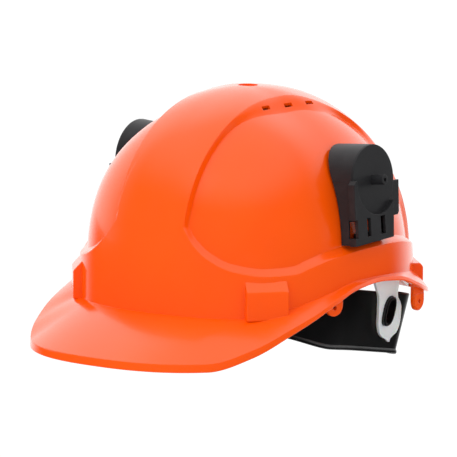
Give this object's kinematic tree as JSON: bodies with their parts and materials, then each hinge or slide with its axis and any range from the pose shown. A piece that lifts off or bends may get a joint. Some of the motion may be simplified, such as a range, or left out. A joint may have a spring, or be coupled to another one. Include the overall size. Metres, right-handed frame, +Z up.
{
  "type": "safety helmet",
  "caption": "Hard-shell safety helmet with front peak, recessed side panels, crown vents, plug-in side visor carriers and a suspended headband tightened by a nape ratchet knob.",
  "frame": {"origin": "centre of the footprint of the whole object's box, at its lowest point (under the ratchet knob)", "axes": "+X to the wearer's left, +Y to the rear of the helmet, +Z up; the peak points along -Y"},
  "size_m": [0.2218, 0.3058, 0.1928],
  "materials": {
    "shell_orange": "smooth glossy moulded plastic, saturated orange",
    "carrier_black": "satin moulded plastic, dark grey",
    "band_black": "satin moulded plastic, black",
    "strap_black": "satin moulded plastic, black",
    "pawl_grey": "moulded plastic, grey",
    "hanger_clear": "natural translucent polyethylene, pale grey",
    "strap_webbing": "woven webbing, pale grey",
    "foam_grey": "fabric-faced foam, dark grey"
  },
  "bodies": {
    "helmet": {"shell": "shell_orange", "headband": "band_black", "brow_pad": "foam_grey", "hanger_front_left": "hanger_clear", "hanger_front_right": "hanger_clear", "hanger_rear_left": "hanger_clear", "hanger_rear_right": "hanger_clear", "crown_strap_upper": "strap_webbing", "crown_strap_lower": "strap_webbing", "stud_front_left": "band_black", "stud_front_right": "band_black", "stud_rear_left": "band_black", "stud_rear_right": "band_black", "ratchet_housing": "band_black", "ratchet_backplate": "band_black", "nape_pad": "foam_grey"},
    "carrier_left": {"carrier_left": "carrier_black"},
    "carrier_right": {"carrier_right": "carrier_black"},
    "ratchet_drive": {"ratchet_knob": "band_black", "ratchet_pinion": "strap_black", "ratchet_pawl": "pawl_grey"},
    "nape_strap_left": {"nape_strap_left": "strap_black"},
    "nape_strap_right": {"nape_strap_right": "strap_black"}
  },
  "joints": [
    {"name": "knob_turn", "type": "hinge", "parent": "helmet", "child": "ratchet_drive", "pos_m": [0, 0.1087, 0.02228], "axis": [0, -0.9744, 0.225], "range_deg": [0, 200]},
    {"name": "left_strap_draw", "type": "hinge", "parent": "helmet", "child": "nape_strap_left", "pos_m": [0, -0.0472, 0.05827], "axis": [0, 0.225, 0.9744], "range_deg": [0, 7.5]},
    {"name": "right_strap_draw", "type": "hinge", "parent": "helmet", "child": "nape_strap_right", "pos_m": [0, -0.0472, 0.05827], "axis": [0, 0.225, 0.9744], "range_deg": [-7.5, 0]},
    {"name": "left_carrier_unplug", "type": "slide", "parent": "helmet", "child": "carrier_left", "axis": [0, 0, 1], "range_m": [0, 0.02]},
    {"name": "right_carrier_unplug", "type": "slide", "parent": "helmet", "child": "carrier_right", "axis": [0, 0, 1], "range_m": [0, 0.02]}
  ],
  "couplings": [
    {"joint": "left_strap_draw", "follows": "knob_turn", "ratio": 0.0375},
    {"joint": "right_strap_draw", "follows": "knob_turn", "ratio": -0.0375}
  ]
}
